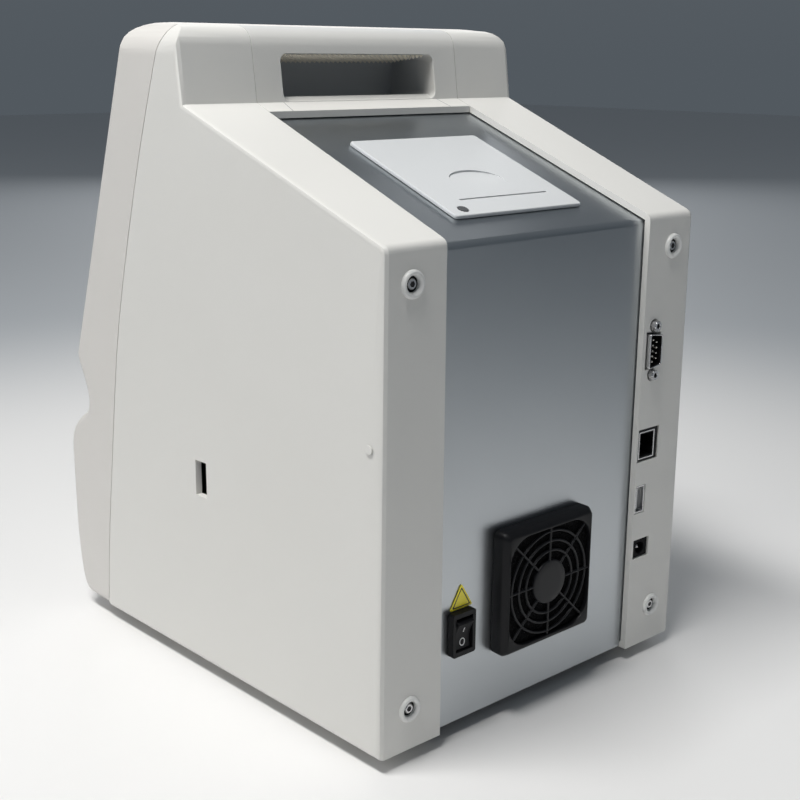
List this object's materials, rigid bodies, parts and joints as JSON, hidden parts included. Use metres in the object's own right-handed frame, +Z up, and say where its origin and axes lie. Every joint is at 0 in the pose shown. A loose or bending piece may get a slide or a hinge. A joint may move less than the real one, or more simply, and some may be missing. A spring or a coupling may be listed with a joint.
{
  "type": "lensmeter",
  "caption": "Free-standing automatic lensmeter with leaning screen, lens rest and table at the front, carrying handle, slope printer, fan, switch and sockets at the back.",
  "frame": {"origin": "centre of the footprint, on the surface that the feet stand on", "axes": "+Z up; the back with its fan and sockets faces +Y, the screen and lens rest face -Y, +X is the side with the data slot"},
  "size_m": [0.2352, 0.3074, 0.323],
  "materials": {
    "shell": "fine moulded texture, warm off-white",
    "cover": "fine moulded texture, slightly pinkish white",
    "panel_steel": "brushed, satin",
    "chassis_steel": "plain sheet, satin",
    "printer_plastic": "cool white, semi-gloss",
    "black_plastic": "black, semi-matt",
    "rubber": "black rubber, matt",
    "chrome": "bright plated",
    "filter_foam": "open-cell foam",
    "screen_glass": "black glass, glossy",
    "circuit_board": "green solder mask",
    "sticker_yellow": "printed film",
    "casting": "as cast, dark",
    "paper": "thermal paper",
    "grey_plastic": "mid grey, matt"
  },
  "bodies": {
    "chassis": {"right_shell": "shell", "left_shell": "shell", "handle_insert": "shell", "side_plug": "shell", "front_cover": "cover", "head_shroud": "cover", "stage_shroud": "cover", "screw_cup_1": "cover", "screw_cup_2": "cover", "screw_cup_3": "cover", "screw_cup_4": "cover", "rear_panel": "panel_steel", "base_plate": "chassis_steel", "lcd_module": "chassis_steel", "side_usb_port": "black_plastic", "fan_guard_cover": "black_plastic", "fan_guard_base": "black_plastic", "fan_frame": "black_plastic", "switch_housing": "black_plastic", "ethernet_port": "black_plastic", "dc_jack": "black_plastic", "light_barrel": "black_plastic", "sensor_barrel": "black_plastic", "nosepiece": "black_plastic", "foot_1": "rubber", "foot_2": "rubber", "foot_3": "rubber", "foot_4": "rubber", "serial_port": "chrome", "usb_port": "chrome", "shell_screw_1": "chrome", "shell_screw_2": "chrome", "shell_screw_3": "chrome", "shell_screw_4": "chrome", "fan_filter": "filter_foam", "touch_glass": "screen_glass", "port_board": "circuit_board", "main_board": "circuit_board", "led_board": "circuit_board", "sensor_board": "circuit_board", "warning_sticker": "sticker_yellow", "optics_frame": "casting", "table_guide": "casting", "printer_tray": "grey_plastic", "print_head": "grey_plastic", "display_frame": "grey_plastic"},
    "fan_rotor": {"fan_rotor": "black_plastic"},
    "switch_rocker": {"switch_rocker": "black_plastic"},
    "printer_door": {"printer_door": "printer_plastic"},
    "feed_button": {"feed_button": "grey_plastic"},
    "platen_roller": {"platen_roller": "rubber"},
    "paper_roll": {"paper_roll": "paper"},
    "lens_press": {"lens_press": "chassis_steel"},
    "marker_pens": {"marker_pens": "chrome"},
    "lens_table": {"lens_table": "grey_plastic"},
    "pd_slider": {"pd_slider": "black_plastic"},
    "read_button": {"read_button": "grey_plastic"}
  },
  "joints": [
    {"name": "fan_spin", "type": "hinge", "parent": "chassis", "child": "fan_rotor", "pos_m": [0.0005, 0.1363, 0.0663], "axis": [0, 1, 0], "continuous": true},
    {"name": "switch_rock", "type": "hinge", "parent": "chassis", "child": "switch_rocker", "pos_m": [0.0518, 0.1443, 0.0536], "axis": [1, 0, 0], "range_deg": [0, 24]},
    {"name": "printer_door_hinge", "type": "hinge", "parent": "chassis", "child": "printer_door", "pos_m": [0, 0.05129, 0.26767], "axis": [1, 0, 0], "range_deg": [0, 95]},
    {"name": "feed_button_press", "type": "slide", "parent": "printer_door", "child": "feed_button", "axis": [0, -0.3514, -0.9362], "range_m": [0, 0.0008], "stiffness_N_per_m": 300, "springref_m": -0.0005},
    {"name": "platen_spin", "type": "hinge", "parent": "printer_door", "child": "platen_roller", "pos_m": [0, 0.10933, 0.23788], "axis": [1, 0, 0], "continuous": true},
    {"name": "paper_roll_spin", "type": "hinge", "parent": "chassis", "child": "paper_roll", "pos_m": [0, 0.07386, 0.23303], "axis": [1, 0, 0], "continuous": true},
    {"name": "lens_press_slide", "type": "slide", "parent": "chassis", "child": "lens_press", "axis": [0, 0, -1], "range_m": [0, 0.024], "stiffness_N_per_m": 60, "springref_m": -0.012},
    {"name": "marker_pens_slide", "type": "slide", "parent": "lens_press", "child": "marker_pens", "axis": [0, 0, -1], "range_m": [0, 0.0055], "stiffness_N_per_m": 150, "springref_m": -0.002},
    {"name": "lens_table_slide", "type": "slide", "parent": "chassis", "child": "lens_table", "axis": [0, -1, 0], "range_m": [-0.008, 0.008]},
    {"name": "width_slide", "type": "slide", "parent": "lens_table", "child": "pd_slider", "axis": [1, 0, 0], "range_m": [-0.03, 0.03]},
    {"name": "read_button_press", "type": "slide", "parent": "chassis", "child": "read_button", "axis": [0, 1, 0], "range_m": [0, 0.0015], "stiffness_N_per_m": 300, "springref_m": -0.0005}
  ],
  "couplings": [
    {"joint": "platen_spin", "follows": "paper_roll_spin", "ratio": -4.625}
  ]
}
